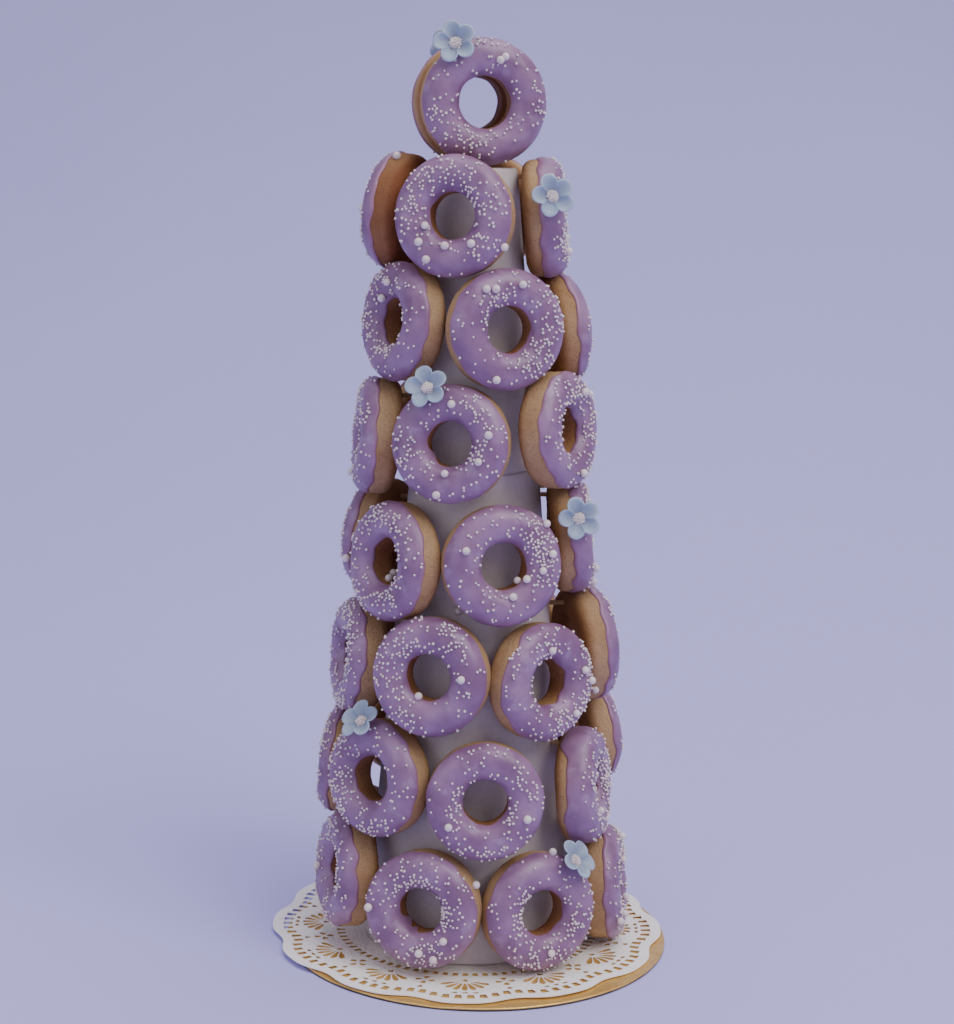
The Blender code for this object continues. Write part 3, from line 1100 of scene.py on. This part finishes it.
@dataclass
class Blossom:
    """A pressed five-petal sugar blossom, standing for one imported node."""

    name: str
    number: int
    petals: int = 5
    petal_radius: float = 0.00445
    petal_centre: float = 0.0068
    thickness: float = 0.0011
    cup: float = 0.0049
    curl: float = 0.0008
    roll: float = 0.0010
    knob_radius: float = 0.0033
    knob_beads: int = 54
    knob_lift: float = 0.0004
    bead_radius: float = 0.00056
    steps: int = 120
    rings: int = 14

    def outline(self, angles: np.ndarray) -> np.ndarray:
        """Return the blossom's radius at some angles, one round lobe for each petal."""
        span = TAU / self.petals
        off = np.abs((angles + span / 2) % span - span / 2)
        sideways = self.petal_centre * np.sin(off)
        depth = np.sqrt(np.maximum(self.petal_radius ** 2 - sideways ** 2, 0))
        return self.petal_centre * np.cos(off) + depth

    def height(self, share: np.ndarray, angles: np.ndarray) -> np.ndarray:
        """Return how high the cupped petals stand.

        Args:
            share: Distance from the middle as a share of the outline.
            angles: Angles round the blossom.

        Returns:
            Heights above the base.
        """
        span = TAU / self.petals
        off = np.abs((angles + span / 2) % span - span / 2) / (span / 2)
        tilt = Ripple(0.12, (1, 2), self.number).at(angles)
        bowl = self.cup * (1 + tilt) * share ** 1.5
        return bowl + self.curl * off ** 2 * share ** 2 - self.roll * np.clip(share - 0.8, 0, 1) * 5 * share

    def build(self, paste: bpy.types.Material, sugar: bpy.types.Material) -> None:
        """Make the petals and the knobbly centre.

        Args:
            paste: The petals' finish.
            sugar: The centre's finish.
        """
        seat = Seat.of_node(self.name)
        solid = np.array([vertex.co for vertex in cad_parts[self.name].data.vertices])
        depths = (solid - np.array(seat.centre)) @ np.array(seat.outward)
        base = seat.centre + seat.outward * float(depths.min())
        tip = solid[np.argmax(np.linalg.norm(solid - np.array(base), axis=1))] - np.array(base)
        start = math.atan2(Vector(tip).dot(seat.upward), Vector(tip).dot(seat.across))
        angles = np.linspace(0, TAU, self.steps, endpoint=False)
        reach = self.outline(angles)[None, :]
        share = np.linspace(0.04, 1, self.rings)[:, None]
        spin = angles[None, :] + start + 0 * share
        layers = []
        tones = []
        for side in (1, -1):
            bevel = np.where(share > 0.985, 0.35, 1.0)
            lift = self.height(share, angles[None, :]) + side * self.thickness / 2 * bevel
            distance = reach * share * (1 - 0.012 * (share > 0.985))
            layer = np.stack(np.broadcast_arrays(
                distance * np.cos(spin), distance * np.sin(spin), lift + self.thickness / 2
            ), axis=-1)
            layers.append(layer if side == 1 else layer[::-1])
            tones.append(np.broadcast_to(share if side == 1 else share[::-1], layer.shape[:2]))
        local = np.concatenate(layers).reshape(-1, 3)
        placed = Seat(Vector(base), seat.across, seat.upward, seat.outward, seat.reach)
        faces = grid_faces(2 * self.rings, self.steps, True, True)
        tone = np.concatenate(tones).reshape(-1)
        # the reach attribute drives the painted shade in the blossom's cup
        petals = make_piece(f"{self.name}_petals", placed.world(local), faces, paste, {"reach": tone})
        adopt(petals, "blossom", self.name)
        self.build_centre(placed, sugar)

    def build_centre(self, seat: Seat, sugar: bpy.types.Material) -> None:
        """Make the knob of small beads in the middle.

        Args:
            seat: The blossom's seat, with its base as the centre.
            sugar: The beads' finish.
        """
        draw = random.Random(self.number)
        centres = [Vector(seat.world(np.array([0, 0, self.knob_lift])))]
        sizes = [self.knob_radius * 0.92]
        for bead in range(self.knob_beads):
            polar = math.acos(1 - (bead + 0.5) / self.knob_beads * 0.92)
            turn = bead * GOLDEN_TURN + draw.uniform(-0.12, 0.12)
            out = self.knob_radius * draw.uniform(0.92, 1.04)
            spot = np.array([
                out * math.sin(polar) * math.cos(turn),
                out * math.sin(polar) * math.sin(turn),
                self.knob_lift + out * math.cos(polar),
            ])
            centres.append(Vector(seat.world(spot)))
            sizes.append(self.bead_radius * draw.uniform(0.85, 1.2))
        knob = Bead(2).scatter(f"{self.name}_centre", centres, sizes, sugar)
        adopt(knob, "sugar")


# --------------------------------------------------------------- the stand


Spot = tuple[float, float]
Loop = list[Spot]


@dataclass
class Doily:
    """Pierced paper lace: a plain scalloped rim, a row of slots, then a leaf fan in each scallop."""

    node: str = "lace_doily"
    scallops: int = 12
    scallop_depth: float = 0.0042
    thickness: float = 0.0004
    rim: float = 0.0056
    slots: int = 8
    slot_length: float = 0.0050
    slot_width: float = 0.0043
    fan_inset: float = 0.0290
    fan_leaves: int = 7
    fan_spread: float = math.radians(136)
    fan_inner: float = 0.0038
    fan_outer: float = 0.0135
    leaf_width: float = 0.0034
    flower_inset: float = 0.0265
    flower_leaves: int = 4
    flower_inner: float = 0.0012
    flower_outer: float = 0.0052
    flower_width: float = 0.0036
    eyelet_inset: float = 0.0132
    eyelet_step: float = 0.058
    drop_inset: float = 0.0176
    foot_inset: float = 0.0388
    foot_slots: int = 7
    foot_length: float = 0.0044
    foot_width: float = 0.0033

    def __post_init__(self) -> None:
        """Read the doily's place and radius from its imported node."""
        low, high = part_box(self.node)
        self.radius = (high.x - low.x) / 2
        self.middle = Vector(((low.x + high.x) / 2, (low.y + high.y) / 2, low.z))

    def edge(self, angle: float) -> float:
        """Return the scalloped edge's radius at an angle."""
        return self.radius - self.scallop_depth * math.sin(angle * self.scallops / 2) ** 4

    @staticmethod
    def leaf(origin: Spot, heading: float, inner: float, outer: float, width: float) -> Loop:
        """Return a leaf-shaped hole, narrow at its inner end and round at its outer end.

        Args:
            origin: The point that the leaf points away from.
            heading: The direction in which it grows.
            inner: Distance from the origin to its inner end.
            outer: Distance from the origin to its outer end.
            width: Its greatest width.

        Returns:
            The corners as flat points.
        """
        shape = ((0.0, 0.12), (0.35, 0.34), (0.72, 0.50), (0.92, 0.34), (1.0, 0.0))
        both = [(along, side) for along, side in shape]
        both.extend((along, -side) for along, side in reversed(shape[:-1]))
        points = []
        for along, side in both:
            reach = inner + (outer - inner) * along
            points.append((
                origin[0] + reach * math.cos(heading) - side * width * math.sin(heading),
                origin[1] + reach * math.sin(heading) + side * width * math.cos(heading),
            ))
        return points

    @staticmethod
    def slot(inner: float, angle: float, length: float, width: float) -> Loop:
        """Return a four-cornered slot that widens outward."""
        points = []
        for radius, side in ((inner, -0.36), (inner + length, -0.5), (inner + length, 0.5), (inner, 0.36)):
            turn = angle + side * width / radius
            points.append((radius * math.cos(turn), radius * math.sin(turn)))
        return points

    @staticmethod
    def at(distance: float, angle: float) -> Spot:
        """Return the flat point at a distance and an angle from the middle."""
        return distance * math.cos(angle), distance * math.sin(angle)

    def motif(self, middle: float) -> list[Loop]:
        """Return the holes of one scallop and of the flower beside it.

        Args:
            middle: The scallop's middle angle.

        Returns:
            Closed loops of flat points.
        """
        holes = []
        span = TAU / self.scallops
        for index in range(self.slots):
            angle = middle + span * ((index + 0.5) / self.slots - 0.5)
            inner = self.edge(angle) - self.rim - self.slot_length
            holes.append(self.slot(inner, angle, self.slot_length, self.slot_width))
        hub = self.at(self.radius - self.fan_inset, middle)
        for index in range(self.fan_leaves):
            heading = middle + self.fan_spread * (index / (self.fan_leaves - 1) - 0.5)
            holes.append(self.leaf(hub, heading, self.fan_inner, self.fan_outer, self.leaf_width))
        holes.append(self.leaf(hub, middle, -0.0018, 0.0018, 0.0034))
        for side in (-1, 0, 1):
            outer = self.at(self.radius - self.eyelet_inset, middle + self.eyelet_step * side)
            holes.append(self.leaf(outer, middle + math.pi / 2, -0.0019, 0.0019, 0.0024))
        joint = middle + span / 2
        flower = self.at(self.radius - self.flower_inset, joint)
        for index in range(self.flower_leaves):
            heading = joint + index * math.pi / 2
            petal = self.leaf(flower, heading, self.flower_inner, self.flower_outer, self.flower_width)
            holes.append(petal)
        drop = self.at(self.radius - self.drop_inset, joint)
        holes.append(self.leaf(drop, joint, -0.0018, 0.0016, 0.0032))
        for index in range(self.foot_slots):
            angle = middle + span * ((index + 0.5) / self.foot_slots - 0.5)
            inner = self.radius - self.foot_inset
            holes.append(self.slot(inner, angle, self.foot_length, self.foot_width))
        return holes

    def build(self, material: bpy.types.Material) -> None:
        """Cut the lace, give it its thickness and lift its edge a little.

        Args:
            material: The paper finish.
        """
        bm = bmesh.new()
        edges = []
        steps = self.scallops * 20
        outline = []
        for step in range(steps):
            angle = TAU * step / steps
            outline.append((self.edge(angle) * math.cos(angle), self.edge(angle) * math.sin(angle)))
        loops = [outline]
        for scallop in range(self.scallops):
            loops.extend(self.motif(TAU * scallop / self.scallops))
        for loop in loops:
            verts = [bm.verts.new((x, y, 0)) for x, y in loop]
            for index in range(len(verts)):
                edges.append(bm.edges.new((verts[index], verts[(index + 1) % len(verts)])))
        bmesh.ops.triangle_fill(bm, edges=edges, use_beauty=True, normal=(0, 0, 1))
        raised = bmesh.ops.extrude_face_region(bm, geom=list(bm.faces), use_keep_orig=True)
        top = [item for item in raised["geom"] if isinstance(item, bmesh.types.BMVert)]
        bmesh.ops.translate(bm, verts=top, vec=(0, 0, self.thickness))
        bmesh.ops.recalc_face_normals(bm, faces=bm.faces)
        for vert in bm.verts:
            distance = math.hypot(vert.co.x, vert.co.y)
            turn = math.atan2(vert.co.y, vert.co.x)
            loose = max(0.0, distance / self.radius - 0.80) / 0.20
            vert.co.z += 0.0005 * loose * (1 + math.sin(5 * turn + 1.0) * 0.6)
        bmesh.ops.translate(bm, verts=bm.verts, vec=self.middle)
        mesh = bpy.data.meshes.new("paper_lace")
        bm.to_mesh(mesh)
        bm.free()
        layer = mesh.attributes.new("emboss", "FLOAT", "POINT")
        for vertex, value in zip(mesh.vertices, layer.data):
            distance = (vertex.co.xy - self.middle.xy).length
            value.value = 1.0 if distance < self.radius - 0.004 else 0.2
        mesh.materials.append(material)
        lace = bpy.data.objects.new("paper_lace", mesh)
        bpy.context.scene.collection.objects.link(lace)
        adopt(lace, "lace_paper", self.node)


@dataclass
class Card:
    """The round gold card with a rolled, slightly dented rim."""

    node: str = "cake_card"
    steps: int = 288
    rim_roll: float = 0.3

    def build(self, material: bpy.types.Material) -> None:
        """Turn the card's outline and dent it.

        Args:
            material: The foil finish.
        """
        low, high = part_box(self.node)
        radius = (high.x - low.x) / 2
        thick = high.z - low.z
        outline = [(0.0005, 0.0), (radius * 0.9, 0.0), (radius - 0.0005, 0.0)]
        for step in range(7):
            turn = math.pi * (step / 6 - 0.5)
            distance = radius - thick * self.rim_roll * (1 - math.cos(turn))
            outline.append((distance, thick / 2 + thick / 2 * math.sin(turn)))
        inward = (0.0008, 0.0020, 0.004, 0.008, 0.014, 0.022, 0.034)
        outline.extend((radius - step, thick) for step in inward)
        outline.append((0.0005, thick))
        angles = np.linspace(0, TAU, self.steps, endpoint=False)
        dents = Ripple(0.00030, (7, 11, 19, 31), 5).at(angles)
        rows = []
        rims = []
        for distance, level in outline:
            near_edge = max(0.0, 1 - (radius - distance) / 0.010)
            drop = np.minimum(dents, 0) * near_edge * (level / thick)
            rows.append(np.stack([
                distance * np.cos(angles), distance * np.sin(angles), low.z + level + drop
            ], axis=-1))
            side = 1.0 if distance > radius - 0.0007 and level < thick * 0.72 else 0.0
            rims.append(np.full(self.steps, side))
        points = np.concatenate(rows) + np.array([(low.x + high.x) / 2, (low.y + high.y) / 2, 0])
        faces = grid_faces(len(outline), self.steps, False, True)
        faces.append(tuple(range(self.steps)))
        last = (len(outline) - 1) * self.steps
        faces.append(tuple(range(last, last + self.steps)))
        card = make_piece("gold_card", points, faces, material, {"rim": np.concatenate(rims)})
        card.data.set_sharp_from_angle(angle=math.radians(50))
        adopt(card, "gold_card", self.node)


@dataclass
class FoamCone:
    """The foam cone that carries the donuts, leaning a little, with the join round its middle."""

    node: str = "foam_cone"
    foot_radius: float = 0.0560
    taper: float = 0.0900
    lean: float = -0.00612
    seam_height: float = 0.2555
    seam_depth: float = 0.0012
    edge: float = 0.0016
    ring_step: float = 0.02
    above_seam: float = 0.265
    steps: int = 160

    def build(self, material: bpy.types.Material) -> bpy.types.Object:
        """Turn the cone.

        Args:
            material: The foam finish.

        Returns:
            The cone piece.
        """
        low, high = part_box(self.node)
        foot = self.foot_radius

        def reach(level: float) -> float:
            """Return the cone's radius at a height above the table."""
            return foot - self.taper * (level - low.z)

        outline = [(0.001, low.z), (reach(low.z) - self.edge, low.z)]
        outline.append((reach(low.z) - self.edge * 0.3, low.z + self.edge * 0.3))
        for step in range(12):
            level = low.z + self.edge + step * self.ring_step
            outline.append((reach(level), level))
        for share in (-1.0, -0.5, 0.0, 0.5, 1.0):
            level = self.seam_height + share * self.seam_depth * 0.7
            outline.append((reach(level) - self.seam_depth * (1 - abs(share)), level))
        for step in range(7):
            level = self.above_seam + step * self.ring_step
            outline.append((reach(level), level))
        outline.append((reach(high.z - self.edge), high.z - self.edge))
        outline.append((reach(high.z) - self.edge * 0.3, high.z - self.edge * 0.3))
        outline.append((reach(high.z) - self.edge, high.z))
        outline.append((0.001, high.z))
        angles = np.linspace(0, TAU, self.steps, endpoint=False)
        rows = []
        for distance, level in outline:
            rows.append(np.stack([
                distance * np.cos(angles) + self.lean * level,
                distance * np.sin(angles),
                np.full(self.steps, level),
            ], axis=-1))
        faces = grid_faces(len(outline), self.steps, False, True)
        faces.append(tuple(range(self.steps)))
        last = (len(outline) - 1) * self.steps
        faces.append(tuple(range(last, last + self.steps)))
        cone = make_piece("foam_core", np.concatenate(rows), faces, material)
        cone.data.set_sharp_from_angle(angle=math.radians(45))
        return adopt(cone, "foam", self.node)


@dataclass
class Picks:
    """Short wooden picks between the ring donuts and the cone, as one piece."""

    radius: float = 0.0012
    sides: int = 12
    short_of_cone: float = 0.0003

    def end_of(self, start: Vector, cone: BVHTree) -> Optional[Vector]:
        """Find where a pick from a donut's body meets the cone.

        Args:
            start: The middle of the donut's upper body.
            cone: The cone's surface.

        Returns:
            The pick's end, or nothing where the cone isn't met.
        """
        inward = Vector((-start.x, -start.y, 0)).normalized()
        point = cone.ray_cast(start, inward)[0]
        return None if point is None else point - inward * self.short_of_cone

    def build(self, donuts: Sequence[Donut], cone: bpy.types.Object, material: bpy.types.Material) -> None:
        """Make every pick and join them.

        Args:
            donuts: The donuts that the picks hold.
            cone: The cone that they point at.
            material: The wood finish.
        """
        tree = BVHTree.FromObject(cone, bpy.context.evaluated_depsgraph_get())
        points: list[Vector] = []
        faces: list[tuple[int, ...]] = []
        for donut in donuts:
            if "crown" in donut.name:
                continue
            start = donut.seat.centre + donut.seat.upward * (donut.seat.reach - donut.half_width)
            end = self.end_of(start, tree)
            if end is None:
                continue
            along = (end - start).normalized()
            side = along.orthogonal().normalized()
            other = along.cross(side)
            first = len(points)
            for middle in (start, end):
                for step in range(self.sides):
                    turn = TAU * step / self.sides
                    rim = side * math.cos(turn) + other * math.sin(turn)
                    points.append(middle + rim * self.radius)
            for step in range(self.sides):
                after = (step + 1) % self.sides
                near, far = first + step, first + after
                faces.append((near, far, far + self.sides, near + self.sides))
            faces.append(tuple(range(first, first + self.sides)))
            faces.append(tuple(range(first + self.sides, first + 2 * self.sides)))
        picks = make_piece("cocktail_picks", np.array([tuple(point) for point in points]), faces, material)
        picks.data.set_sharp_from_angle(angle=math.radians(50))
        adopt(picks, "wood")


# ------------------------------------------------------------------ the studio


@dataclass
class Studio:
    """A pale seamless table and backdrop, greying higher up with painted shade, and soft light from above
    and the right.
    """

    table: Colour = (0.555, 0.520, 0.930)
    shaded_wall: Colour = (0.480, 0.455, 0.640)
    bend_start: float = 0.5
    bend_radius: float = 2.6
    bend_steps: int = 30
    ambient: Colour = (0.84, 0.82, 1.0)
    ambient_strength: float = 0.50

    def build_backdrop(self) -> None:
        """Make the seamless sweep behind and under the piece."""
        bm = bmesh.new()
        rows = [(-3.0, 0.0), (self.bend_start, 0.0)]
        for step in range(1, self.bend_steps + 1):
            turn = math.pi / 2 * step / self.bend_steps
            depth = self.bend_start + self.bend_radius * math.sin(turn)
            rows.append((depth, self.bend_radius * (1 - math.cos(turn))))
        rows.append((self.bend_start + self.bend_radius, 5.0))
        previous = None
        for depth, height in rows:
            pair = [bm.verts.new((side, depth, height)) for side in (-5.0, 5.0)]
            if previous:
                bm.faces.new((previous[0], previous[1], pair[1], pair[0]))
            previous = pair
        mesh = bpy.data.meshes.new("seamless_sweep")
        bm.to_mesh(mesh)
        bm.free()
        mesh.shade_smooth()
        mesh.materials.append(PaintFinish("pale_sweep", self.table, self.shaded_wall).make())
        sweep = bpy.data.objects.new("seamless_sweep", mesh)
        bpy.context.scene.collection.objects.link(sweep)

    @staticmethod
    def lamp(name: str, place: Vector, size: float, power: float, colour: Colour) -> None:
        """Add a square soft light that points at the middle of the piece.

        Args:
            name: The lamp's name.
            place: Where it hangs.
            size: Its side.
            power: Its power in watts.
            colour: Its colour.
        """
        data = bpy.data.lights.new(name, "AREA")
        data.size = size
        data.energy = power
        data.color = colour
        lamp = bpy.data.objects.new(name, data)
        lamp.location = place
        aim = Vector((0, 0, 0.2)) - place
        lamp.rotation_euler = aim.to_track_quat("-Z", "Y").to_euler()
        bpy.context.scene.collection.objects.link(lamp)

    def build(self) -> None:
        """Add the backdrop, the lamps and the sky."""
        self.build_backdrop()
        self.lamp("key_light", Vector((1.3, -1.3, 2.1)), 1.6, 34.0, (1.0, 0.97, 0.95))
        self.lamp("window_above", Vector((0.35, 0.1, 2.6)), 2.4, 41.0, (0.93, 0.93, 1.0))
        self.lamp("fill_light", Vector((-1.8, -1.6, 1.2)), 2.0, 9.0, (0.86, 0.88, 1.0))
        world = bpy.data.worlds.new("room")
        world.use_nodes = True
        background = world.node_tree.nodes["Background"]
        background.inputs["Color"].default_value = (*self.ambient, 1.0)
        background.inputs["Strength"].default_value = self.ambient_strength
        bpy.context.scene.world = world


# ------------------------------------------------------------------ the whole


def main() -> None:
    """Build every piece in order."""
    logging.basicConfig(level=logging.INFO, format="%(name)s %(message)s")
    camera = Portrait()
    camera.build()
    Card().build(FoilFinish().make())
    Doily().build(PaperFinish().make())
    cone = FoamCone().build(FoamFinish().make())
    crumb = CakeFinish().make()
    icing = IcingFinish().make()
    donuts = []
    surfaces = [cone]
    names = sorted(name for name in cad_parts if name.startswith("donut_"))
    for number, name in enumerate(names):
        donut = Donut(name, number, HABITS.get(name, Habit()))
        surfaces.append(donut.build_cake(crumb))
        surfaces.append(donut.build_icing(icing))
        donuts.append(donut)
    Picks().build(donuts, cone, BirchFinish().make())
    Sprinkles(donuts, camera).build(surfaces)
    paste = BlossomFinish().make()
    beads = SugarFinish("blossom_beads", roughness=0.45).make()
    for number, name in enumerate(sorted(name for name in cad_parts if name.startswith("blossom_"))):
        Blossom(name, number).build(paste, beads)
    Studio().build()
    LOG.info("dressed %d donuts", len(donuts))


if __name__ == "__main__":
    main()
